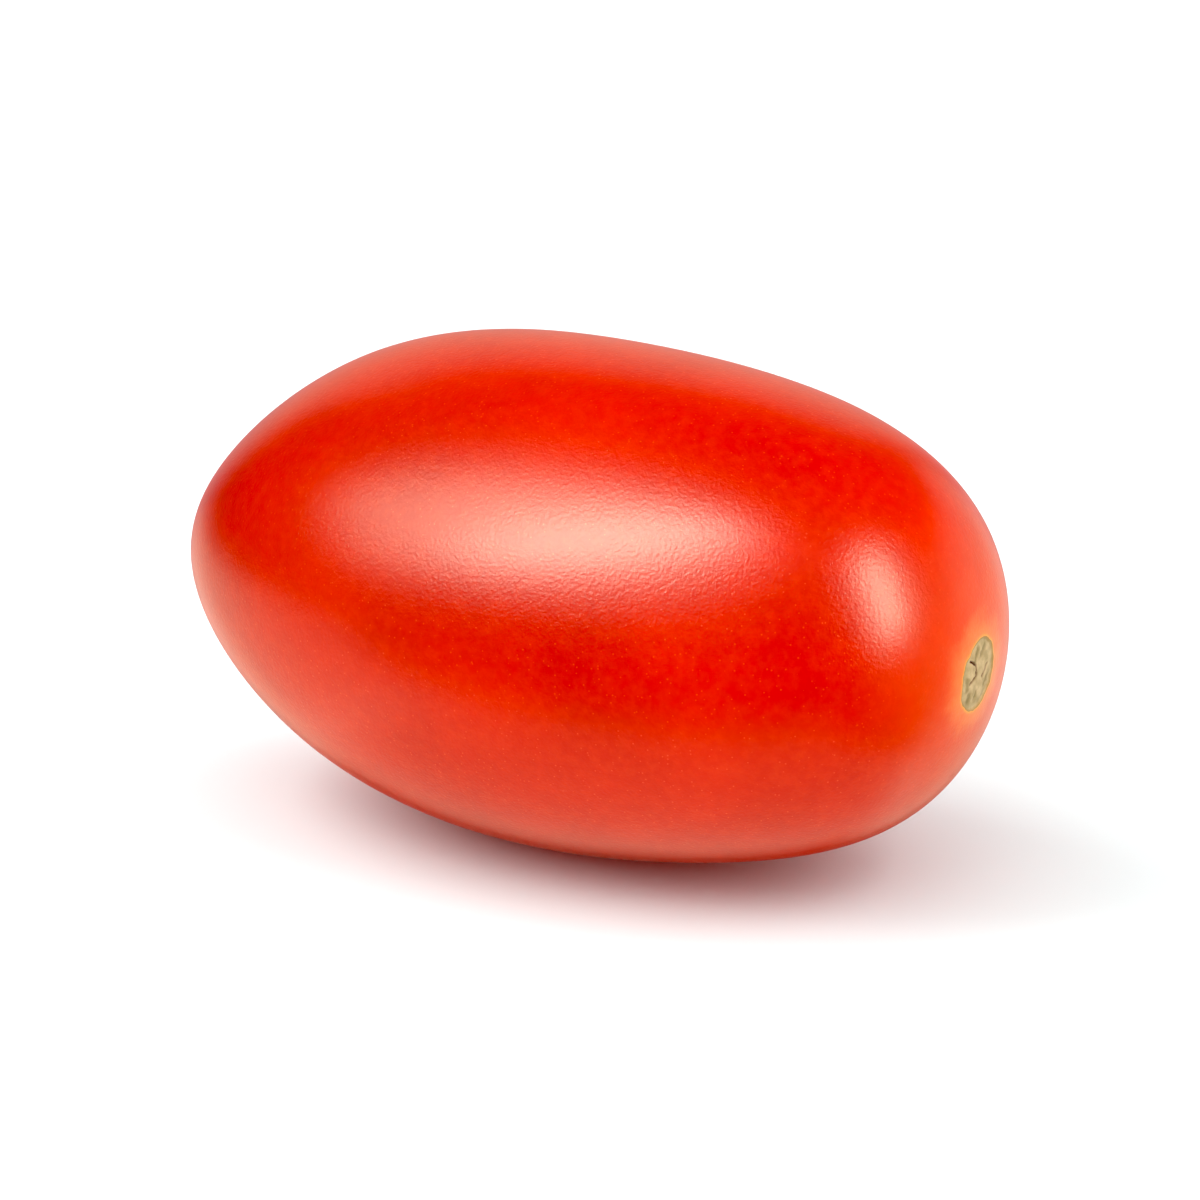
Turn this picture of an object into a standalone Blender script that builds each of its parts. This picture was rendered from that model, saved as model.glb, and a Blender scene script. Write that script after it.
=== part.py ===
"""A mini plum tomato, picked clean of its stalk and calyx, lying on its side.

Metres, +Z up. The long axis of the fruit is X, with the stem end at +X. The origin is on the
surface that the fruit rests on, under the middle of its length.
"""

from math import asin, atan2, cos, hypot, pi, sin

import bmesh
import bpy
from mathutils import Vector

# Driving dimensions.
LENGTH = 0.038              # from the blossom end to the stem end
BELLY_DIAMETER = 0.0222     # across the thickest part
SCAR_DIAMETER = 0.0030      # the corky patch where the stalk came away
SCAR_DEPTH = 0.00012        # from the edge of the skin down to the cork
FLAT_DEPTH = 0.00025        # how much of the underside is flat where the fruit rests

# Shape of the outline.
FULLNESS = 0.077            # both ends are this much fuller than an ellipse
SHOULDER = 0.24             # what the stem end gains in fullness and the blossom end loses
LOBES = 3                   # seed chambers, which swell the skin a little
LOBE_SWELL = 0.006          # height of that swelling as a part of the radius
ARCH = 0.00024              # how far the middle stands above the line between the two ends

# Fineness of the mesh.
RINGS = 40                  # from the edge of the scar to the blossom end
SEGMENTS = 64               # around the fruit
MERGE_DISTANCE = 0.00001

# Derived sizes.
HALF_LENGTH = LENGTH / 2
BELLY_RADIUS = BELLY_DIAMETER / 2
SCAR_RADIUS = SCAR_DIAMETER / 2
STEM_END_ROUNDNESS = BELLY_RADIUS * (1 + FULLNESS + SHOULDER)

SKIN, CORK = range(2)


def clear_scene():
    for item in list(bpy.data.objects):
        bpy.data.objects.remove(item, do_unlink=True)


def make_material(name, color, roughness):
    material = bpy.data.materials.new(name)
    material.use_nodes = True
    shader = material.node_tree.nodes["Principled BSDF"]
    shader.inputs["Base Color"].default_value = (*color, 1)
    shader.inputs["Roughness"].default_value = roughness
    shader.inputs["Metallic"].default_value = 0
    return material


def skin_point(turn):
    """A point of the outline as (x, radius): turn is 0 at the stem end and pi at the blossom end."""
    along = cos(turn)
    fullness = 1 + FULLNESS * along**2 + SHOULDER * along**3
    return HALF_LENGTH * along, BELLY_RADIUS * sin(turn) * fullness


def fruit_outline():
    """From the middle of the scar, over its rim and along the skin to the blossom end."""
    rim_turn = asin(SCAR_RADIUS / STEM_END_ROUNDNESS)
    rim_x, rim_radius = skin_point(rim_turn)
    cork_x = rim_x - SCAR_DEPTH
    cork = [(cork_x, rim_radius * share) for share in (0, 0.45, 0.9)]
    turns = [rim_turn + (pi - rim_turn) * ring / RINGS for ring in range(RINGS + 1)]
    return cork + [skin_point(turn) for turn in turns]


def turn_about_x(outline):
    """Spin the outline once around X into a closed body."""
    body = bmesh.new()
    points = [body.verts.new((x, 0, radius)) for x, radius in outline]
    edges = [body.edges.new(pair) for pair in zip(points, points[1:])]
    bmesh.ops.spin(body, geom=points + edges, axis=(1, 0, 0), cent=(0, 0, 0),
                   angle=2 * pi, steps=SEGMENTS, use_duplicate=False)
    bmesh.ops.remove_doubles(body, verts=body.verts, dist=MERGE_DISTANCE)
    bmesh.ops.recalc_face_normals(body, faces=body.faces)
    return body


def swell_and_arch(body):
    """Swell the skin over the seed chambers, one of them on top, and arch the fruit a little."""
    for point in body.verts:
        x, y, z = point.co
        belly = max(0, 1 - (x / HALF_LENGTH) ** 2)
        lobe = LOBE_SWELL * belly * cos(LOBES * (atan2(z, y) - pi / 2))
        point.co = (x, y * (1 + lobe), z * (1 + lobe) + ARCH * belly)


def flatten_underside(body):
    """Cut the underside level, so that the fruit rests on a small flat spot."""
    floor = min(point.co.z for point in body.verts) + FLAT_DEPTH
    everything = body.verts[:] + body.edges[:] + body.faces[:]
    cut = bmesh.ops.bisect_plane(body, geom=everything, dist=MERGE_DISTANCE, plane_co=(0, 0, floor),
                                 plane_no=(0, 0, -1), clear_outer=True)
    rim = [item for item in cut["geom_cut"] if isinstance(item, bmesh.types.BMEdge)]
    bmesh.ops.edgeloop_fill(body, edges=rim)
    bmesh.ops.recalc_face_normals(body, faces=body.faces)


def stand_on_origin(body):
    """Move the body so that the origin is at the middle of its length and width, at its foot."""
    low = Vector(min(point.co[axis] for point in body.verts) for axis in range(3))
    high = Vector(max(point.co[axis] for point in body.verts) for axis in range(3))
    foot = Vector(((low.x + high.x) / 2, (low.y + high.y) / 2, low.z))
    bmesh.ops.translate(body, verts=body.verts, vec=-foot)


def paint_scar(body):
    """Give the cork to every face inside the rim of the scar."""
    stem_end = max(point.co.x for point in body.verts)
    axis_z = BELLY_RADIUS - FLAT_DEPTH
    for face in body.faces:
        middle = face.calc_center_median()
        off_axis = hypot(middle.y, middle.z - axis_z)
        inside = off_axis < SCAR_RADIUS and middle.x > stem_end - 2 * SCAR_DEPTH
        face.material_index = CORK if inside else SKIN


def make_tomato():
    body = turn_about_x(fruit_outline())
    swell_and_arch(body)
    flatten_underside(body)
    stand_on_origin(body)
    paint_scar(body)
    mesh = bpy.data.meshes.new("tomato")
    body.to_mesh(mesh)
    body.free()
    mesh.materials.append(make_material("ripe_tomato_skin", (0.80, 0.018, 0.003), 0.3))
    mesh.materials.append(make_material("stem_scar_cork", (0.48, 0.40, 0.23), 0.85))
    mesh.shade_smooth()
    mesh.set_sharp_from_angle(angle=pi / 6)
    tomato = bpy.data.objects.new("tomato", mesh)
    bpy.context.scene.collection.objects.link(tomato)
    return tomato


clear_scene()
make_tomato()
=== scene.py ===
# %% [markdown]
# # A mini plum tomato
#
# This lesson builds one ripe mini plum tomato, picked clean of its stalk and calyx and lying on its
# side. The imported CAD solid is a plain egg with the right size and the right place. The lesson grows
# a finer body in that same place, with a corky stem scar, a dry blossom point and a waxy skin that
# lets a little light into the flesh, and it ends in a small white studio.
#
# The frame comes first. Everything later takes its size and its place from it.

# %% Load the frame
from math import cos, pi, radians, sin, tan

import bpy
from mathutils import Matrix, Vector


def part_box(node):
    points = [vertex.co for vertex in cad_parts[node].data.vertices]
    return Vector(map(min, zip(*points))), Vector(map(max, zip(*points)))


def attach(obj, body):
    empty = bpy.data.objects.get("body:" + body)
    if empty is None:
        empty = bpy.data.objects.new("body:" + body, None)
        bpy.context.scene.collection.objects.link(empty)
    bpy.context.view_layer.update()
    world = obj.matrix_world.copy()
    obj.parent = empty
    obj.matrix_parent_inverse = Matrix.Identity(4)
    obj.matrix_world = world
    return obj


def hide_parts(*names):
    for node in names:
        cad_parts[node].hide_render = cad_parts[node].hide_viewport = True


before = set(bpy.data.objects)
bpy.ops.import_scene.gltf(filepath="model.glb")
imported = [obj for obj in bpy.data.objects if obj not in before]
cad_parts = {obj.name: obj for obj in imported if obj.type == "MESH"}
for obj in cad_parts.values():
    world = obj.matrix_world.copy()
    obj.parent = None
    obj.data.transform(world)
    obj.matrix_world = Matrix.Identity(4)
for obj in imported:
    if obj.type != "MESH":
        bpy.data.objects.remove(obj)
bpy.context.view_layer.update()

MM = 0.001

low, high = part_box("tomato")
half_length = (high.x - low.x) / 2
belly_radius = (high.y - low.y) / 2
print(f"fruit {2 * half_length / MM:.1f} mm long and {2 * belly_radius / MM:.1f} mm thick")

# %% [markdown]
# ## Two helpers
#
# Blender's shaders count in linear light, while a colour written as a hex value is gamma-coded, so
# one function turns the second into the first. The other function adds one node to a tree, sets its
# options and fills its inputs, either with plain values or with the outputs of earlier nodes. Both
# the geometry and the materials are built with it.
#
# A few nodes have several inputs of one name, so inputs can also be given by number. In a Mix node,
# 0 is the share, 2 and 3 are two numbers and 6 and 7 two colours, and output 2 is the mixed colour.

# %% Colours and nodes
def linear(hex_color):
    """An sRGB hex colour as linear red, green, blue and alpha."""
    channels = [int(hex_color[i:i + 2], 16) / 255 for i in (1, 3, 5)]
    bent = [c / 12.92 if c <= 0.04045 else ((c + 0.055) / 1.055) ** 2.4 for c in channels]
    return (*bent, 1)


def add(tree, kind, inputs=None, **options):
    """Add a node; inputs maps a socket to a value, a socket or a node, whose first output counts."""
    node = tree.nodes.new(kind)
    for option, value in options.items():
        setattr(node, option, value)
    for name, value in (inputs or {}).items():
        source = value.outputs[0] if isinstance(value, bpy.types.Node) else value
        if isinstance(source, bpy.types.NodeSocket):
            tree.links.new(source, node.inputs[name])
        else:
            node.inputs[name].default_value = source
    return node


print("tomato red in linear light:", [round(c, 3) for c in linear("#C91D05")])

# %% [markdown]
# ## The shape of the fruit
#
# A plum tomato is a body of rotation that has been pushed about a little: an ellipse whose ends are
# fuller than they should be, the stem end more than the blossom end. It could be a sphere pulled
# into shape by hand, or a profile that is spun. Here a Geometry Nodes tree bends a flat grid around
# the formula, because then one set of numbers gives the outline, the scar's relief and the masks
# that the colours need.
#
# One direction of the grid runs from the middle of the scar to the blossom point and the other runs
# around the fruit. The rings are close together where detail is small and wide apart on the belly.

# %% The tree and its named inputs
LOBE_SWELL = 0.006
ARCH = 0.24 * MM
FRUIT_SIZES = {
    "Half length": half_length,
    "Belly radius": belly_radius,
    "Fullness": 0.077,
    "Shoulder": 0.24,
    "Lobe swell": LOBE_SWELL,
    "Arch": ARCH,
    "Axis height": high.z - belly_radius * (1 + LOBE_SWELL) - ARCH,
    "Scar radius": 1.56 * MM,
    "Scar lowering": radians(0.35),
    "Scar turning": radians(-3.0),
    "Cork depth": 0.07 * MM,
    "Unevenness": 0.06 * MM,
}
SEED = 4

fruit_tree = bpy.data.node_groups.new("plum_tomato_body", "GeometryNodeTree")
fruit_tree.interface.new_socket("Fruit", in_out="OUTPUT", socket_type="NodeSocketGeometry")
for name in FRUIT_SIZES:
    fruit_tree.interface.new_socket(name, in_out="INPUT", socket_type="NodeSocketFloat")
fruit_tree.interface.new_socket("Seed", in_out="INPUT", socket_type="NodeSocketFloat")
size = add(fruit_tree, "NodeGroupInput").outputs
print(len(FRUIT_SIZES) + 1, "named inputs")

# %% A flat grid, counted from 0 to 1 both ways
RINGS = 260
SPOKES = 256

grid = add(fruit_tree, "GeometryNodeMeshGrid",
           {"Size X": 1, "Size Y": 1, "Vertices X": RINGS + 1, "Vertices Y": SPOKES + 1})
place = add(fruit_tree, "ShaderNodeSeparateXYZ", {0: add(fruit_tree, "GeometryNodeInputPosition")})
down_the_fruit = add(fruit_tree, "ShaderNodeMath", {0: place.outputs["X"], 1: 0.5}, operation="ADD")
angle = add(fruit_tree, "ShaderNodeMath", {0: place.outputs["Y"], 1: 2 * pi}, operation="MULTIPLY")
print(f"{RINGS} rings of {SPOKES} faces")

# %% [markdown]
# About a fifth of the rings lies inside the scar, which is only 3 mm wide, so that its cracks and its rim
# are real shape. The other rings cover the skin, closest together near the rim and at the blossom
# point, because a smooth step slows down at both of its ends.

# %% Where each ring lies
SCAR_SHARE = 0.22
SCAR_CROWDING = 0.75
SKIN_CROWDING = 0.75

across_scar = add(fruit_tree, "ShaderNodeMapRange",
                  {"Value": down_the_fruit, "From Min": 0, "From Max": SCAR_SHARE})
scar_radius_share = add(fruit_tree, "ShaderNodeMath", {0: across_scar, 1: SCAR_CROWDING},
                        operation="POWER")
along_skin = add(fruit_tree, "ShaderNodeMapRange",
                 {"Value": down_the_fruit, "From Min": SCAR_SHARE, "From Max": 1})
gathered = add(fruit_tree, "ShaderNodeMapRange",
               {"Value": down_the_fruit, "From Min": SCAR_SHARE, "From Max": 1},
               interpolation_type="SMOOTHSTEP")
skin_share = add(fruit_tree, "ShaderNodeMix", {0: SKIN_CROWDING, 2: along_skin, 3: gathered})

stem_fullness = add(fruit_tree, "ShaderNodeMath", {0: size["Fullness"], 1: size["Shoulder"]},
                    operation="ADD")
stem_roundness = add(fruit_tree, "ShaderNodeMath",
                     {0: stem_fullness, 1: size["Belly radius"], 2: size["Belly radius"]},
                     operation="MULTIPLY_ADD")
rim_sine = add(fruit_tree, "ShaderNodeMath", {0: size["Scar radius"], 1: stem_roundness},
               operation="DIVIDE")
rim_turn = add(fruit_tree, "ShaderNodeMath", {0: rim_sine}, operation="ARCSINE")
rest_turn = add(fruit_tree, "ShaderNodeMath", {0: pi, 1: rim_turn}, operation="SUBTRACT")
scar_turn = add(fruit_tree, "ShaderNodeMath", {0: scar_radius_share, 1: rim_turn},
                operation="MULTIPLY")
even_turn = add(fruit_tree, "ShaderNodeMath", {0: skin_share, 1: rest_turn, 2: scar_turn},
                operation="MULTIPLY_ADD")
print("rings inside the scar:", round(RINGS * SCAR_SHARE))

# %% [markdown]
# The stalk never leaves a perfect circle. Noise that is read on a circle around the axis changes the
# scar's radius a little with the angle, and the change dies away over the next millimetres of skin.
# The scar is also a leaning oval, a fifth narrower one way than the other.

# %% An uneven outline for the scar
OUTLINE_WANDER = 0.16
OUTLINE_WAVES = 1.6
OUTLINE_FADE = 0.35
SCAR_NARROWING = 0.2
SCAR_OVAL_LEAN = radians(35)

spoke = add(fruit_tree, "ShaderNodeCombineXYZ", {
    "X": add(fruit_tree, "ShaderNodeMath", {0: angle}, operation="COSINE"),
    "Y": add(fruit_tree, "ShaderNodeMath", {0: angle}, operation="SINE")})
spoke_parts = add(fruit_tree, "ShaderNodeSeparateXYZ", {0: spoke})
outline_noise = add(fruit_tree, "ShaderNodeTexNoise",
                    {"Vector": spoke, "W": size["Seed"], "Scale": OUTLINE_WAVES, "Detail": 2},
                    noise_dimensions="4D")
wander = add(fruit_tree, "ShaderNodeMapRange",
             {"Value": outline_noise, "To Min": -OUTLINE_WANDER, "To Max": OUTLINE_WANDER})
oval_angle = add(fruit_tree, "ShaderNodeMath", {0: angle, 1: SCAR_OVAL_LEAN}, operation="ADD")
across = add(fruit_tree, "ShaderNodeMath", {0: oval_angle}, operation="COSINE")
crosswise = add(fruit_tree, "ShaderNodeMath", {0: across, 1: across}, operation="MULTIPLY")
outline_change = add(fruit_tree, "ShaderNodeMath",
                     {0: crosswise, 1: -SCAR_NARROWING, 2: wander}, operation="MULTIPLY_ADD")
fading = add(fruit_tree, "ShaderNodeMapRange",
             {"Value": along_skin, "From Min": 0, "From Max": OUTLINE_FADE, "To Min": 1, "To Max": 0},
             interpolation_type="SMOOTHSTEP")
stretch = add(fruit_tree, "ShaderNodeMath", {0: outline_change, 1: fading, 2: 1},
              operation="MULTIPLY_ADD")
turn = add(fruit_tree, "ShaderNodeMath", {0: even_turn, 1: stretch}, operation="MULTIPLY")
print(f"scar outline wanders by up to {OUTLINE_WANDER / 2:.0%} of its radius")

# %% [markdown]
# Each grid point now becomes a direction on a ball, whose pole is the middle of the scar. The scar
# doesn't sit exactly on the end of the fruit, so the ball is turned by three degrees before the egg
# formula is laid over it: the outline stays, and only the scar and its rings move.

# %% Directions on a ball
turn_sine = add(fruit_tree, "ShaderNodeMath", {0: turn}, operation="SINE")
turn_cosine = add(fruit_tree, "ShaderNodeMath", {0: turn}, operation="COSINE")
ball_point = add(fruit_tree, "ShaderNodeCombineXYZ", {
    "X": turn_cosine,
    "Y": add(fruit_tree, "ShaderNodeMath", {0: turn_sine, 1: spoke_parts.outputs["X"]},
             operation="MULTIPLY"),
    "Z": add(fruit_tree, "ShaderNodeMath", {0: turn_sine, 1: spoke_parts.outputs["Y"]},
             operation="MULTIPLY")})
scar_lean = add(fruit_tree, "ShaderNodeCombineXYZ",
                {"Y": size["Scar lowering"], "Z": size["Scar turning"]})
direction = add(fruit_tree, "ShaderNodeVectorRotate", {"Vector": ball_point, "Rotation": scar_lean},
                rotation_type="EULER_XYZ")
aim = add(fruit_tree, "ShaderNodeSeparateXYZ", {0: direction})
print("scar middle leans", round(FRUIT_SIZES["Scar turning"] * 180 / pi, 1), "degrees sideways")

# %% [markdown]
# The egg formula: the radius of an ellipse times 1 + fullness x^2 + shoulder x^3, where x runs from
# -1 at the blossom end to 1 at the stem end. Three seed chambers, one of them on top, swell the skin
# very slightly, and the whole fruit arches up a little in the middle.

# %% The egg
LOBES = 3

along_squared = add(fruit_tree, "ShaderNodeMath", {0: aim.outputs["X"], 1: aim.outputs["X"]},
                    operation="MULTIPLY")
leaning = add(fruit_tree, "ShaderNodeMath",
              {0: aim.outputs["X"], 1: size["Shoulder"], 2: size["Fullness"]}, operation="MULTIPLY_ADD")
fullness = add(fruit_tree, "ShaderNodeMath", {0: leaning, 1: along_squared, 2: 1},
               operation="MULTIPLY_ADD")
belly = add(fruit_tree, "ShaderNodeMath", {0: 1, 1: along_squared}, operation="SUBTRACT")
bearing = add(fruit_tree, "ShaderNodeMath", {0: aim.outputs["Z"], 1: aim.outputs["Y"]},
              operation="ARCTAN2")
lobe_angle = add(fruit_tree, "ShaderNodeMath", {0: bearing, 1: LOBES, 2: -LOBES * pi / 2},
                 operation="MULTIPLY_ADD")
lobe = add(fruit_tree, "ShaderNodeMath", {0: lobe_angle}, operation="COSINE")
lobe_height = add(fruit_tree, "ShaderNodeMath", {0: lobe, 1: size["Lobe swell"]},
                  operation="MULTIPLY")
swelling = add(fruit_tree, "ShaderNodeMath", {0: lobe_height, 1: belly, 2: 1},
               operation="MULTIPLY_ADD")
girth = add(fruit_tree, "ShaderNodeMath", {0: fullness, 1: swelling}, operation="MULTIPLY")
radius = add(fruit_tree, "ShaderNodeMath", {0: girth, 1: size["Belly radius"]},
             operation="MULTIPLY")
lift = add(fruit_tree, "ShaderNodeMath",
           {0: belly, 1: size["Arch"], 2: size["Axis height"]}, operation="MULTIPLY_ADD")
egg_point = add(fruit_tree, "ShaderNodeCombineXYZ", {
    "X": add(fruit_tree, "ShaderNodeMath", {0: aim.outputs["X"], 1: size["Half length"]},
             operation="MULTIPLY"),
    "Y": add(fruit_tree, "ShaderNodeMath", {0: aim.outputs["Y"], 1: radius}, operation="MULTIPLY"),
    "Z": add(fruit_tree, "ShaderNodeMath", {0: aim.outputs["Z"], 1: radius, 2: lift},
             operation="MULTIPLY_ADD")})
print("egg formula with", LOBES, "seed chambers")

# %% [markdown]
# A fruit grows between its neighbours and its stalk, and keeps a few broad swellings and hollows
# from that, a tenth or two of a millimetre high. They are listed one by one: each one has a direction
# on the ball and a height, and it fades out with a smooth step as the directions move apart.

# %% Broad swellings and hollows
SWELLINGS = (
    ((-0.02, 0.31, 0.95), -0.20 * MM),
    ((-0.50, 0.10, 0.86), 0.16 * MM),
    ((-0.94, -0.34, -0.02), 0.07 * MM),
    ((-0.66, -0.52, -0.55), -0.07 * MM),
    ((0.12, -0.40, -0.91), 0.12 * MM),
    ((0.68, -0.20, -0.70), -0.07 * MM),
    ((0.95, 0.10, -0.30), -0.12 * MM),
)
SWELLING_REACH = 0.7

bulge = 0
for centre, height in SWELLINGS:
    apart = add(fruit_tree, "ShaderNodeVectorMath", {0: direction, 1: centre}, operation="DISTANCE")
    fade = add(fruit_tree, "ShaderNodeMapRange",
               {"Value": apart.outputs["Value"], "From Min": 0, "From Max": SWELLING_REACH,
                "To Min": height, "To Max": 0}, interpolation_type="SMOOTHSTEP")
    bulge = add(fruit_tree, "ShaderNodeMath", {0: fade, 1: bulge}, operation="ADD")
print(len(SWELLINGS), "swellings and hollows")

# %% [markdown]
# Finer than that, soft noise moves the skin in and out by hundredths of a millimetre. It can't be
# seen as shape, but it bends the reflections.

# %% Uneven flesh
NOISE_SIZE = 9 * MM

flesh_noise = add(fruit_tree, "ShaderNodeTexNoise",
                  {"Vector": egg_point, "W": size["Seed"], "Scale": 1 / NOISE_SIZE, "Detail": 1},
                  noise_dimensions="4D")
centred = add(fruit_tree, "ShaderNodeMath", {0: flesh_noise, 1: 0.5}, operation="SUBTRACT")
push = add(fruit_tree, "ShaderNodeMath", {0: centred, 1: size["Unevenness"], 2: bulge},
           operation="MULTIPLY_ADD")
pushed = add(fruit_tree, "ShaderNodeVectorMath", {"Vector": direction, "Scale": push},
             operation="SCALE")
flesh_point = add(fruit_tree, "ShaderNodeVectorMath", {0: egg_point, 1: pushed}, operation="ADD")
print(f"noise {NOISE_SIZE / MM:.0f} mm across")

# %% [markdown]
# ## The stem scar
#
# Where the stalk broke off, the fruit sealed itself with a disc of dry cork. The veins that fed the
# fruit ran through it in a ring, and they leave a broken ring of brown cracks. Around them the cork
# dries into shallow furrows. A texture could fake this, but the cracks are wide enough to catch
# shadow, so they are cut into the mesh.
#
# Each crack is a short straight line on a disc of radius 1, with y to the right and z up as the
# scar is looked at. Geometry Proximity measures how far a point is from the nearest line. The point
# is moved by noise before it is measured, which makes the straight lines ragged.

# %% Lines for the cracks and the furrows
VEIN_CRACKS = (
    ((-0.50, 0.62), (-0.20, 0.38)),
    ((-0.20, 0.38), (-0.18, 0.06)),
    ((-0.18, 0.02), (-0.50, -0.14)),
    ((0.50, 0.20), (0.26, -0.10)),
)
CORK_FURROWS = (
    ((0.00, 0.78), (-0.26, 0.50)),
    ((0.40, 0.68), (0.12, 0.52)),
    ((-0.72, 0.04), (-0.60, -0.30)),
    ((-0.10, -0.50), (-0.18, -0.60)),
    ((-0.48, -0.44), (-0.46, -0.68)),
    ((0.62, -0.20), (0.40, -0.46)),
)


def line_distance(tree, lines, point):
    """Nodes that measure how far each point of the disc is from the nearest of the lines."""
    strokes = [add(tree, "GeometryNodeCurvePrimitiveLine", {"Start": (0, *start), "End": (0, *end)})
               for start, end in lines]
    bundle = add(tree, "GeometryNodeJoinGeometry")
    for stroke in strokes:
        tree.links.new(stroke.outputs[0], bundle.inputs[0])
    wires = add(tree, "GeometryNodeCurveToMesh", {"Curve": bundle})
    nearest = add(tree, "GeometryNodeProximity", {0: wires, "Source Position": point},
                  target_element="EDGES")
    return nearest.outputs["Distance"]


print(len(VEIN_CRACKS), "cracks and", len(CORK_FURROWS), "furrows")

# %% Cracks and furrows as masks from 0 to 1
RAGGEDNESS = 0.16
RAGGED_WAVES = 7
CRACK_WIDTH = 0.075
CRACK_CORE = 0.2 * CRACK_WIDTH
FURROW_WIDTH = 0.13
FURROW_CORE = 0.1 * FURROW_WIDTH

disc_point = add(fruit_tree, "ShaderNodeCombineXYZ", {
    "Y": add(fruit_tree, "ShaderNodeMath",
             {0: scar_radius_share, 1: spoke_parts.outputs["X"]}, operation="MULTIPLY"),
    "Z": add(fruit_tree, "ShaderNodeMath",
             {0: scar_radius_share, 1: spoke_parts.outputs["Y"]}, operation="MULTIPLY")})
ragged_noise = add(fruit_tree, "ShaderNodeTexNoise",
                   {"Vector": disc_point, "W": size["Seed"], "Scale": RAGGED_WAVES, "Detail": 3},
                   noise_dimensions="4D")
ragged_offset = add(fruit_tree, "ShaderNodeVectorMath",
                    {0: ragged_noise.outputs["Color"], 1: (0.5, 0.5, 0.5)}, operation="SUBTRACT")
ragged_push = add(fruit_tree, "ShaderNodeVectorMath", {"Vector": ragged_offset, "Scale": RAGGEDNESS},
                  operation="SCALE")
ragged_point = add(fruit_tree, "ShaderNodeVectorMath",
                   {0: disc_point, 1: ragged_push}, operation="ADD")
flat_ragged_point = add(fruit_tree, "ShaderNodeVectorMath",
                        {0: ragged_point, 1: (0, 1, 1)}, operation="MULTIPLY")

crack_mask = add(fruit_tree, "ShaderNodeMapRange", {
    "Value": line_distance(fruit_tree, VEIN_CRACKS, flat_ragged_point),
    "From Min": CRACK_CORE, "From Max": CRACK_WIDTH, "To Min": 1, "To Max": 0},
    interpolation_type="SMOOTHSTEP")
furrow_mask = add(fruit_tree, "ShaderNodeMapRange", {
    "Value": line_distance(fruit_tree, CORK_FURROWS, flat_ragged_point),
    "From Min": FURROW_CORE, "From Max": FURROW_WIDTH, "To Min": 1, "To Max": 0},
    interpolation_type="SMOOTHSTEP")
print(f"cracks {2 * CRACK_WIDTH * FRUIT_SIZES['Scar radius'] / MM:.2f} mm wide")

# %% [markdown]
# The relief is one height in metres, added along the fruit's axis, which at the scar is almost the
# direction that the skin faces. From outside to inside it has a low lip of skin, a groove where
# the skin ends, and the cork, slightly crowned and rough, with the cracks and furrows cut into it.
# The lip's places are shares of the way along the skin, and the crown's are shares of the scar's
# radius. The bumps are measured between the values that noise usually has.

# %% The relief of the scar
LIP_HEIGHT = 0.035 * MM
LIP_START, LIP_END = 0.01, 0.09
CORK_EDGE = 0.94
CROWN_START = 0.6
CROWN_HEIGHT = 0.8
CRACK_DEPTH = 0.10 * MM
FURROW_DEPTH = 0.035 * MM
CORK_ROUGHNESS = 0.05 * MM
CORK_WAVES = 5
USUAL_NOISE = (0.25, 0.75)

skin_lip = add(fruit_tree, "ShaderNodeMapRange",
               {"Value": along_skin, "From Min": LIP_START, "From Max": LIP_END,
                "To Min": LIP_HEIGHT, "To Max": 0},
               interpolation_type="SMOOTHSTEP")
in_cork = add(fruit_tree, "ShaderNodeMapRange",
              {"Value": scar_radius_share, "From Min": 1, "From Max": CORK_EDGE,
               "To Min": 0, "To Max": 1},
              interpolation_type="SMOOTHSTEP")
crown = add(fruit_tree, "ShaderNodeMapRange",
            {"Value": scar_radius_share, "From Min": CORK_EDGE, "From Max": CROWN_START,
             "To Min": 0, "To Max": CROWN_HEIGHT},
            interpolation_type="SMOOTHSTEP")
sunk_share = add(fruit_tree, "ShaderNodeMath", {0: crown, 1: in_cork}, operation="SUBTRACT")
cork_level = add(fruit_tree, "ShaderNodeMath", {0: sunk_share, 1: size["Cork depth"], 2: skin_lip},
                 operation="MULTIPLY_ADD")
cork_noise = add(fruit_tree, "ShaderNodeTexNoise",
                 {"Vector": disc_point, "W": size["Seed"], "Scale": CORK_WAVES, "Detail": 4,
                  "Roughness": 0.6},
                 noise_dimensions="4D")
cork_bumps = add(fruit_tree, "ShaderNodeMapRange",
                 {"Value": cork_noise, "From Min": USUAL_NOISE[0], "From Max": USUAL_NOISE[1],
                  "To Min": -CORK_ROUGHNESS / 2, "To Max": CORK_ROUGHNESS / 2})
furrowed = add(fruit_tree, "ShaderNodeMath", {0: furrow_mask, 1: -FURROW_DEPTH, 2: cork_bumps},
               operation="MULTIPLY_ADD")
cracked = add(fruit_tree, "ShaderNodeMath", {0: crack_mask, 1: -CRACK_DEPTH, 2: furrowed},
              operation="MULTIPLY_ADD")
relief = add(fruit_tree, "ShaderNodeMath", {0: cracked, 1: in_cork, 2: cork_level},
             operation="MULTIPLY_ADD")
print(f"cracks {CRACK_DEPTH / MM:.2f} mm deep")

# %% [markdown]
# At the other end the flower left a dry point. It gets a tiny raised dot. Then the underside is
# pressed flat: a smooth maximum keeps every point on or above the table and rounds the edge of the
# flat spot, as soft flesh does.

# %% The blossom point and the flat spot
BLOSSOM_DOT_TURN = radians(3)
BLOSSOM_CORE_TURN = radians(0.9)
BLOSSOM_DOT_HEIGHT = 0.12 * MM
FLAT_ROUNDING = 0.05 * MM

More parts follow.
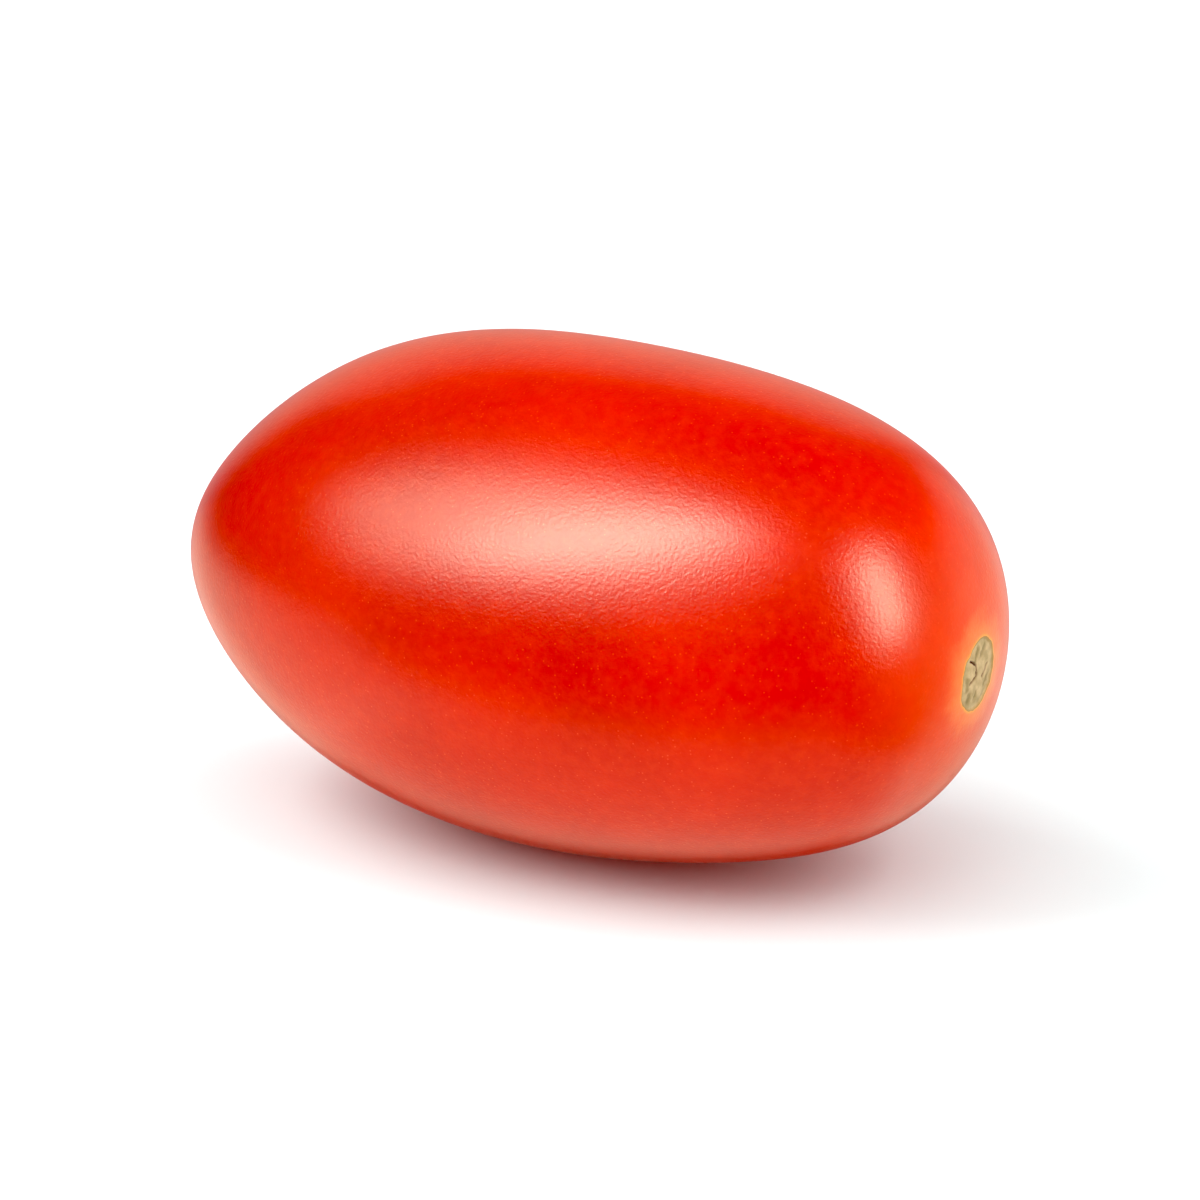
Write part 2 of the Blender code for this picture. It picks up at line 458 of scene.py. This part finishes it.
to_blossom = add(fruit_tree, "ShaderNodeMath", {0: pi, 1: turn}, operation="SUBTRACT")
blossom_mask = add(fruit_tree, "ShaderNodeMapRange",
                   {"Value": to_blossom, "From Min": BLOSSOM_CORE_TURN, "From Max": BLOSSOM_DOT_TURN,
                    "To Min": 1, "To Max": 0}, interpolation_type="SMOOTHSTEP")
end_relief = add(fruit_tree, "ShaderNodeMath",
                 {0: blossom_mask, 1: -BLOSSOM_DOT_HEIGHT, 2: relief}, operation="MULTIPLY_ADD")
flesh_parts = add(fruit_tree, "ShaderNodeSeparateXYZ", {0: flesh_point})
final_point = add(fruit_tree, "ShaderNodeCombineXYZ", {
    "X": add(fruit_tree, "ShaderNodeMath", {0: flesh_parts.outputs["X"], 1: end_relief},
             operation="ADD"),
    "Y": flesh_parts.outputs["Y"],
    "Z": add(fruit_tree, "ShaderNodeMath",
             {0: flesh_parts.outputs["Z"], 1: low.z, 2: FLAT_ROUNDING}, operation="SMOOTH_MAX")})
print("rests at z =", round(low.z / MM, 3), "mm")

# %% [markdown]
# The masks are stored on the mesh as named attributes before the points move, because the materials
# read them later. Distances are in millimetres. Then the points go to their places, and merging by
# a very small distance closes the seam along the fruit and the two poles.

# %% Store the masks, place the points and close the body
MERGE_DISTANCE = 0.00005 * MM

rim_here = add(fruit_tree, "ShaderNodeMath", {0: stretch, 1: rim_turn}, operation="MULTIPLY")
skin_distance = add(fruit_tree, "ShaderNodeMath", {0: turn, 1: rim_here}, operation="SUBTRACT")
roundness_mm = add(fruit_tree, "ShaderNodeMath", {0: stem_roundness, 1: MM}, operation="DIVIDE")
distance_mm = add(fruit_tree, "ShaderNodeMath", {0: skin_distance, 1: roundness_mm},
                  operation="MULTIPLY")
masks = {
    "scar_distance": distance_mm,
    "scar_radius_share": scar_radius_share,
    "crack": crack_mask,
    "furrow": furrow_mask,
    "blossom": blossom_mask,
}
body = grid.outputs["Mesh"]
for name, mask in masks.items():
    body = add(fruit_tree, "GeometryNodeStoreNamedAttribute",
               {"Geometry": body, "Name": name, "Value": mask},
               data_type="FLOAT", domain="POINT").outputs[0]
placed = add(fruit_tree, "GeometryNodeSetPosition", {"Geometry": body, "Position": final_point})
closed = add(fruit_tree, "GeometryNodeMergeByDistance",
             {"Geometry": placed, "Distance": MERGE_DISTANCE})
print("masks:", ", ".join(masks))

# %% [markdown]
# ## The waxy skin
#
# A ripe tomato's skin is a clear film of cutin and wax over flesh that is full of red pigment. The eye
# sees a deep, saturated red because light goes a millimetre or so into the flesh and comes back
# without its green and blue, and over that a broad, soft highlight, because the wax isn't quite
# smooth. So the shader has strong subsurface scattering and a medium roughness, and no metal.
#
# Four things break up the red: slow changes of ripeness, a fine orange mottling, pale pinhead flecks,
# and an orange halo around the stem scar, where a tomato ripens last.

# %% A coordinate in millimetres
skin = bpy.data.materials.new("waxy_tomato_skin")
skin.use_nodes = True
skin_tree = skin.node_tree
skin_shader = skin_tree.nodes["Principled BSDF"]


def millimetres(tree):
    """The piece's own coordinates, counted in millimetres."""
    return add(tree, "ShaderNodeMapping",
               {"Vector": add(tree, "ShaderNodeTexCoord").outputs["Object"], "Scale": (1 / MM,) * 3})


skin_mm = millimetres(skin_tree)
print("skin material:", skin.name)

# %% Ripeness and flecks
RIPE_RED = linear("#C91D05")
BRIGHT_RED = linear("#D62306")
MOTTLE_ORANGE = linear("#EE481C")
FLECK_ORANGE = linear("#F0643C")
PATCH_SIZE_MM = 6
PATCH_START, PATCH_END = 0.35, 0.7
MOTTLE_SIZE_MM = 0.5
MOTTLE_START, MOTTLE_END = 0.42, 0.75
MOTTLE_STRENGTH = 0.25
FLECK_SPACING_MM = 0.28
FLECK_CORE_MM = 0.0175
FLECK_EDGE_MM = 0.0525
FLECK_STRENGTH = 0.45

patches = add(skin_tree, "ShaderNodeTexNoise",
              {"Vector": skin_mm, "Scale": 1 / PATCH_SIZE_MM, "Detail": 2})
patch_mask = add(skin_tree, "ShaderNodeMapRange",
                 {"Value": patches, "From Min": PATCH_START, "From Max": PATCH_END})
red = add(skin_tree, "ShaderNodeMix", {0: patch_mask, 6: RIPE_RED, 7: BRIGHT_RED}, data_type="RGBA")
mottle = add(skin_tree, "ShaderNodeTexNoise",
             {"Vector": skin_mm, "Scale": 1 / MOTTLE_SIZE_MM, "Detail": 3, "Roughness": 0.7})
mottle_mask = add(skin_tree, "ShaderNodeMapRange",
                  {"Value": mottle, "From Min": MOTTLE_START, "From Max": MOTTLE_END,
                   "To Min": 0, "To Max": MOTTLE_STRENGTH})
mottled = add(skin_tree, "ShaderNodeMix",
              {0: mottle_mask, 6: red.outputs[2], 7: MOTTLE_ORANGE}, data_type="RGBA")
fleck_cells = add(skin_tree, "ShaderNodeTexVoronoi",
                  {"Vector": skin_mm, "Scale": 1 / FLECK_SPACING_MM}, feature="F1")
fleck_mask = add(skin_tree, "ShaderNodeMapRange",
                 {"Value": fleck_cells.outputs["Distance"],
                  "From Min": FLECK_CORE_MM / FLECK_SPACING_MM,
                  "From Max": FLECK_EDGE_MM / FLECK_SPACING_MM,
                  "To Min": FLECK_STRENGTH, "To Max": 0}, interpolation_type="SMOOTHSTEP")
flecked = add(skin_tree, "ShaderNodeMix",
              {0: fleck_mask, 6: mottled.outputs[2], 7: FLECK_ORANGE}, data_type="RGBA")
print(f"flecks every {FLECK_SPACING_MM} mm")

# %% [markdown]
# The halo has three layers. A wide orange one fades out over several millimetres, a paler one ends
# sooner, and their edges wander with a little noise. The last is a thin yellow line on the rim, where
# the eye sees the dry edge of the skin. The dot at the blossom end is dry too, and tan.

# %% The halo around the scar
HALO_WAVES_PER_MM = 1.2
HALO_WANDER_MM = 0.5
HALO_ORANGE = linear("#F26032")
GLOW_ORANGE = linear("#FAA05A")
RIM_YELLOW = linear("#F0A046")
BLOSSOM_TAN = linear("#9A7040")

scar_distance = add(skin_tree, "ShaderNodeAttribute", attribute_name="scar_distance").outputs["Fac"]
halo_noise = add(skin_tree, "ShaderNodeTexNoise",
                 {"Vector": skin_mm, "Scale": HALO_WAVES_PER_MM, "Detail": 3})
halo_wander = add(skin_tree, "ShaderNodeMapRange",
                  {"Value": halo_noise, "To Min": -HALO_WANDER_MM, "To Max": HALO_WANDER_MM})
halo_distance = add(skin_tree, "ShaderNodeMath", {0: scar_distance, 1: halo_wander}, operation="ADD")

# Each layer: its colour, the distance that it follows, where it starts to fade and where it ends in
# millimetres from the rim, and its strength.
HALO_LAYERS = (
    (HALO_ORANGE, halo_distance, 0, 6.5, 0.55),
    (GLOW_ORANGE, halo_distance, 0, 1.5, 0.5),
    (RIM_YELLOW, scar_distance, 0.04, 0.2, 0.9),
)
skin_color = flecked
for color, distance, start, end, strength in HALO_LAYERS:
    mask = add(skin_tree, "ShaderNodeMapRange",
               {"Value": distance, "From Min": start, "From Max": end, "To Min": strength, "To Max": 0},
               interpolation_type="SMOOTHSTEP")
    skin_color = add(skin_tree, "ShaderNodeMix", {0: mask, 6: skin_color.outputs[2], 7: color},
                     data_type="RGBA")
blossom = add(skin_tree, "ShaderNodeAttribute", attribute_name="blossom").outputs["Fac"]
skin_color = add(skin_tree, "ShaderNodeMix", {0: blossom, 6: skin_color.outputs[2], 7: BLOSSOM_TAN},
                 data_type="RGBA")
skin_tree.links.new(skin_color.outputs[2], skin_shader.inputs["Base Color"])
print(len(HALO_LAYERS), "layers in the halo")

# %% [markdown]
# The skin has a fine grain, about a seventh of a millimetre across. It is too fine for the mesh, so it
# is drawn as bump, which breaks the edge of each highlight into tiny ripples.
#
# Red light comes back out of the flesh about a millimetre from where it went in, green and blue light
# much closer, so the shadows on the fruit have soft, glowing red edges.

# %% Grain and gloss
GRAIN_SIZE_MM = 0.15
GRAIN_HEIGHT = 0.014 * MM
WAX_ROUGHNESS = 0.32
WAX_IOR = 1.45
FLESH_DEPTH = 1.2 * MM
FLESH_DEPTH_SHARES = (1, 0.25, 0.12)

grain = add(skin_tree, "ShaderNodeTexNoise",
            {"Vector": skin_mm, "Scale": 1 / GRAIN_SIZE_MM, "Detail": 2})
grain_bump = add(skin_tree, "ShaderNodeBump",
                 {"Height": grain, "Distance": GRAIN_HEIGHT, "Strength": 1})
skin_tree.links.new(grain_bump.outputs[0], skin_shader.inputs["Normal"])
skin_shader.inputs["Roughness"].default_value = WAX_ROUGHNESS
skin_shader.inputs["IOR"].default_value = WAX_IOR
skin_shader.inputs["Subsurface Weight"].default_value = 1
skin_shader.inputs["Subsurface Radius"].default_value = FLESH_DEPTH_SHARES
skin_shader.inputs["Subsurface Scale"].default_value = FLESH_DEPTH
print("grain of", GRAIN_SIZE_MM, "mm")

# %% [markdown]
# ## The cork
#
# Cork is dead, dry tissue. The eye sees a matt beige with cream patches, olive in the furrows and dark
# brown where it has cracked. A brown band along the rim is painted shade, which darkens the groove
# where the skin ends. The crack and furrow masks come from the mesh, so colour and shape always agree.

# %% Cork colours
CORK_BEIGE = linear("#A68E60")
CORK_CREAM = linear("#C8AA7E")
FURROW_OLIVE = linear("#78683A")
CRACK_BROWN = linear("#4E2212")
# Painted shade: the brown that darkens the groove along the scar's rim.
GROOVE_SHADE_BROWN = linear("#9C7430")
FURROW_STRENGTH = 0.7
CRACK_STRENGTH = 1
CREAM_WAVES_PER_MM = 2.5
CREAM_START, CREAM_END = 0.35, 0.65
GROOVE_SHADE_START, GROOVE_SHADE_END = 0.94, 0.99
GROOVE_SHADE_STRENGTH = 0.6
CORK_DULLNESS = 0.85

cork = bpy.data.materials.new("stem_scar_cork")
cork.use_nodes = True
cork_tree = cork.node_tree
cork_shader = cork_tree.nodes["Principled BSDF"]
cork_mm = millimetres(cork_tree)
cork_patches = add(cork_tree, "ShaderNodeTexNoise",
                   {"Vector": cork_mm, "Scale": CREAM_WAVES_PER_MM, "Detail": 5})
cream_mask = add(cork_tree, "ShaderNodeMapRange",
                 {"Value": cork_patches, "From Min": CREAM_START, "From Max": CREAM_END})
cork_color = add(cork_tree, "ShaderNodeMix", {0: cream_mask, 6: CORK_BEIGE, 7: CORK_CREAM},
                 data_type="RGBA")
for attribute, strength, color in (("furrow", FURROW_STRENGTH, FURROW_OLIVE),
                                   ("crack", CRACK_STRENGTH, CRACK_BROWN)):
    stored = add(cork_tree, "ShaderNodeAttribute", attribute_name=attribute).outputs["Fac"]
    mask = add(cork_tree, "ShaderNodeMath", {0: stored, 1: strength}, operation="MULTIPLY")
    cork_color = add(cork_tree, "ShaderNodeMix", {0: mask, 6: cork_color.outputs[2], 7: color},
                     data_type="RGBA")
rim_share = add(cork_tree, "ShaderNodeAttribute", attribute_name="scar_radius_share").outputs["Fac"]
# Painted shade: a brown band on the wall of the groove along the scar's rim, strongest at the rim.
painted_groove_shade = add(cork_tree, "ShaderNodeMapRange",
                {"Value": rim_share, "From Min": GROOVE_SHADE_START, "From Max": GROOVE_SHADE_END,
                 "To Min": 0, "To Max": GROOVE_SHADE_STRENGTH})
cork_color = add(cork_tree, "ShaderNodeMix", {0: painted_groove_shade, 6: cork_color.outputs[2], 7: GROOVE_SHADE_BROWN},
                 data_type="RGBA")
cork_tree.links.new(cork_color.outputs[2], cork_shader.inputs["Base Color"])
cork_shader.inputs["Roughness"].default_value = CORK_DULLNESS
print("cork material:", cork.name)

# %% [markdown]
# ## From tree to mesh
#
# The last nodes shade the body smooth and give the skin to all of it and the cork to the faces inside
# the rim. The modifier's inputs are set by their identifiers, the tree is evaluated once, and the
# result becomes a plain mesh that no longer needs the tree. Its first material slot belongs to the
# empty mesh that it grew from, so that slot is taken away.

# %% Finish the tree
INSIDE_RIM = 0.999

smooth = add(fruit_tree, "GeometryNodeSetShadeSmooth", {"Geometry": closed})
skinned = add(fruit_tree, "GeometryNodeSetMaterial", {"Geometry": smooth, "Material": skin})
stored_share = add(fruit_tree, "GeometryNodeInputNamedAttribute", {"Name": "scar_radius_share"},
                   data_type="FLOAT")
is_cork = add(fruit_tree, "ShaderNodeMath", {0: stored_share, 1: INSIDE_RIM}, operation="LESS_THAN")
real = add(fruit_tree, "GeometryNodeRealizeInstances", {"Geometry": skinned})
corked = add(fruit_tree, "GeometryNodeSetMaterial",
             {"Geometry": real, "Selection": is_cork, "Material": cork})
add(fruit_tree, "NodeGroupOutput", {"Fruit": corked})
print(len(fruit_tree.nodes), "nodes in the tree")

# %% Grow the fruit
grower = bpy.data.objects.new("fruit_grower", bpy.data.meshes.new("empty"))
bpy.context.scene.collection.objects.link(grower)
growth = grower.modifiers.new("growth", "NODES")
growth.node_group = fruit_tree
values = FRUIT_SIZES | {"Seed": SEED}
for socket in fruit_tree.interface.items_tree:
    if socket.in_out == "INPUT":
        growth[socket.identifier] = float(values[socket.name])

evaluated = grower.evaluated_get(bpy.context.evaluated_depsgraph_get())
fruit_mesh = bpy.data.meshes.new_from_object(evaluated)
fruit_mesh.materials.pop(index=0)
bpy.data.objects.remove(grower)
fruit = bpy.data.objects.new("plum_tomato", fruit_mesh)
bpy.context.scene.collection.objects.link(fruit)
print(len(fruit_mesh.vertices), "points,", len(fruit_mesh.polygons), "faces,",
      [material.name for material in fruit_mesh.materials],
      sum(face.material_index for face in fruit_mesh.polygons), "faces of cork")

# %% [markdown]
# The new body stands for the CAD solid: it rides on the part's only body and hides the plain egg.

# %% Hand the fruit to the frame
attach(fruit, "root")
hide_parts("tomato")
print("the fruit rides on root")

# %% [markdown]
# ## The studio
#
# The fruit lies on a sheet of white acrylic, which the eye sees as an even, matt, faintly cool white.
# Mirrored in the skin, its far edge would draw a pale line along the fruit, so the table itself isn't
# mirrored. Panels below it are mirrored instead, and it lets their light through.

# %% Table
TABLE_REACH = 2.0
BOARD_WHITE = linear("#ECF6F6")

corners = [(x * TABLE_REACH, y * TABLE_REACH, low.z) for x, y in ((-1, -1), (1, -1), (1, 1), (-1, 1))]
table_mesh = bpy.data.meshes.new("table")
table_mesh.from_pydata(corners, [], [range(len(corners))])
table = bpy.data.objects.new("table", table_mesh)
table.visible_glossy = False
table.visible_shadow = False
bpy.context.scene.collection.objects.link(table)

white_acrylic = bpy.data.materials.new("white_acrylic")
white_acrylic.use_nodes = True
acrylic_shader = white_acrylic.node_tree.nodes["Principled BSDF"]
acrylic_shader.inputs["Base Color"].default_value = BOARD_WHITE
acrylic_shader.inputs["Roughness"].default_value = 1
acrylic_shader.inputs["Specular IOR Level"].default_value = 0
table_mesh.materials.append(white_acrylic)
print("table at z =", round(low.z / MM, 3), "mm")

# %% [markdown]
# The camera stands in front of the fruit and well to the right, so the stem end is turned towards it.
# It looks down a little, through a long lens, which keeps the fruit's near end from looking swollen.

# %% Camera
CAMERA_AZIMUTH = radians(27.9)
CAMERA_ELEVATION = radians(19.54)
CAMERA_DISTANCE = 247 * MM
VIEW_WIDTH = 51.62 * MM
AIM_RIGHT = 0.615 * MM
AIM_DOWN = 0.154 * MM
SENSOR_WIDTH_MM = 36
NEAREST_SIGHT = 1 * MM

a, e = CAMERA_AZIMUTH, CAMERA_ELEVATION
to_camera = Vector((sin(a) * cos(e), -cos(a) * cos(e), sin(e)))
to_right = Vector((cos(a), sin(a), 0))
to_up = to_camera.cross(to_right)
middle = Vector((0, 0, FRUIT_SIZES["Axis height"]))
aim_point = middle + to_right * AIM_RIGHT - to_up * AIM_DOWN
camera_data = bpy.data.cameras.new("camera")
camera_data.sensor_width = SENSOR_WIDTH_MM
camera_data.lens = SENSOR_WIDTH_MM * CAMERA_DISTANCE / VIEW_WIDTH
camera_data.clip_start = NEAREST_SIGHT
camera = bpy.data.objects.new("camera", camera_data)
camera.location = aim_point + to_camera * CAMERA_DISTANCE
camera.rotation_euler = to_camera.to_track_quat("Z", "Y").to_euler()
bpy.context.scene.collection.objects.link(camera)
bpy.context.scene.camera = camera
print("lens", round(camera_data.lens), "mm")

# %% [markdown]
# ## The light
#
# In a studio each lamp does several jobs at once. Here every lamp does one. Eight panels are only
# mirrored in the skin and light nothing. A large tilted softbox on the left and a narrow strip beside
# it give the long highlight on the belly, and a narrow softbox on the right gives the upright
# highlight on the shoulder. A backdrop gives the pale rim along the top, and four pale cards and
# sheets below and beside the fruit give its pale lower side and its ends.
#
# Each panel is described by where it is seen from the fruit, how large it looks and how bright it is.

# %% Describe a panel
PANEL_DISTANCE = 0.6
WARM_WHITE = linear("#FFFFE0")[:3]
SOFT_WHITE = linear("#FFFFE8")[:3]
WHITE = (1, 1, 1)


def studio_frame(azimuth, elevation):
    """Sideways, upwards and away from the fruit; azimuth 0 is towards the camera."""
    a, e = radians(azimuth), radians(elevation)
    towards = Vector((to_camera.x, to_camera.y, 0)).normalized()
    away = (towards * cos(a) + to_right * sin(a)) * cos(e) + Vector((0, 0, sin(e)))
    sideways = Vector((0, 0, 1)).cross(away).normalized()
    return sideways, away.cross(sideways), away


def panel(name, azimuth, elevation, width, height, roll, radiance, color):
    """A lit panel that faces the fruit and is only seen mirrored in it."""
    sideways, upwards, away = studio_frame(azimuth, elevation)
    light = bpy.data.lights.new(name, "AREA")
    light.shape = "RECTANGLE"
    light.size = 2 * PANEL_DISTANCE * tan(radians(width) / 2)
    light.size_y = 2 * PANEL_DISTANCE * tan(radians(height) / 2)
    light.energy = radiance * pi * light.size * light.size_y
    light.color = color
    lamp = bpy.data.objects.new(name, light)
    turned = Matrix((sideways, upwards, away)).transposed() @ Matrix.Rotation(radians(roll), 3, "Z")
    lamp.matrix_world = Matrix.Translation(middle + away * PANEL_DISTANCE) @ turned.to_4x4()
    lamp.visible_camera = False
    lamp.visible_diffuse = False
    bpy.context.scene.collection.objects.link(lamp)
    return lamp


print("panels stand", PANEL_DISTANCE, "m from the fruit")

# %% Panels that are mirrored
# Each panel: its name; azimuth, elevation, width, height and roll in degrees; radiance; and colour.
MIRRORED_PANELS = (
    ("key_softbox", -66, 40, 29, 52, -42, 7.0, WARM_WHITE),
    ("key_strip", -43, 44.5, 7, 50, -28, 44, SOFT_WHITE),
    ("right_softbox", 57, 27, 16, 37, 0, 22.5, WARM_WHITE),
    ("backdrop", 185, 21, 54, 42, 0, 0.85, WARM_WHITE),
    ("table_behind", 180, -15, 60, 30, 0, 0.65, WHITE),
    ("lit_table", -25, -78, 95, 92, 0, 1.03, WARM_WHITE),
    ("right_card", 127, -18, 56, 78, 0, 1.1, WARM_WHITE),
    ("left_card", -115, -29, 79, 35, 0, 1.35, WARM_WHITE),
)
for description in MIRRORED_PANELS:
    panel(*description)
print(len(MIRRORED_PANELS), "panels to be mirrored")

# %% [markdown]
# The lamps that light are mirrored in nothing, and each one lights a single object. Four light the
# table until it is almost pure white and leave a soft shadow to the left, to the right and under the
# fruit. Two fill in the fruit's own front and top.

# %% Lamps that light one object
TABLE_LAMPS = (
    ("table_key", -50, 48, 60, 50, 0, 0.5, WHITE),
    ("table_left", -100, 38, 50, 50, 0, 3.4, WHITE),
    ("table_right", 80, 35, 50, 50, 0, 2.4, WHITE),
    ("table_top", 0, 85, 80, 80, 0, 0.7, WHITE),
)
FRUIT_LAMPS = (
    ("front_fill", -45, 20, 120, 70, 0, 0.42, WHITE),
    ("top_fill", 35, 62, 90, 60, 0, 2.3, WHITE),
)

for receiver, descriptions in ((table, TABLE_LAMPS), (fruit, FRUIT_LAMPS)):
    receivers = bpy.data.collections.new(f"only_{receiver.name}")
    receivers.objects.link(receiver)
    for description in descriptions:
        lamp = panel(*description)
        lamp.visible_diffuse = True
        lamp.visible_glossy = False
        lamp.light_linking.receiver_collection = receivers
print(len(TABLE_LAMPS), "lamps for the table and", len(FRUIT_LAMPS), "for the fruit")

# %% [markdown]
# A dim white room fills in the rest. Its light starts at the horizon and is full where the line of
# sight has risen by 0.15 of its length, as with walls that are darker near the floor. It isn't
# mirrored, or it would veil the whole skin.

# %% Room light
ROOM_BRIGHTNESS = 0.45
HORIZON = 0
FULL_LIGHT = 0.15

world = bpy.data.worlds.new("bright_room")
bpy.context.scene.world = world
world.use_nodes = True
room_tree = world.node_tree
gaze = add(room_tree, "ShaderNodeSeparateXYZ",
           {0: add(room_tree, "ShaderNodeTexCoord").outputs["Generated"]})
room_light = add(room_tree, "ShaderNodeMapRange",
                 {"Value": gaze.outputs["Z"], "From Min": HORIZON, "From Max": FULL_LIGHT,
                  "To Min": 0, "To Max": 1}, interpolation_type="SMOOTHSTEP")
room_tree.links.new(room_light.outputs[0], room_tree.nodes["Background"].inputs["Color"])
room_tree.nodes["Background"].inputs["Strength"].default_value = ROOM_BRIGHTNESS
world.cycles_visibility.glossy = False
print("room brightness", ROOM_BRIGHTNESS)

# %% [markdown]
# Last comes a touch of colour grading. A black level on green and blue takes a little of both away
# everywhere. The deepest red becomes completely pure, while the highlights hardly change.

# %% Colours on the screen
BLACK_LEVEL = (0, 0.024, 0.022)

view = bpy.context.scene.view_settings
view.view_transform = "Standard"
view.use_curve_mapping = True
view.curve_mapping.black_level = BLACK_LEVEL
view.curve_mapping.update()
print("black level", BLACK_LEVEL)
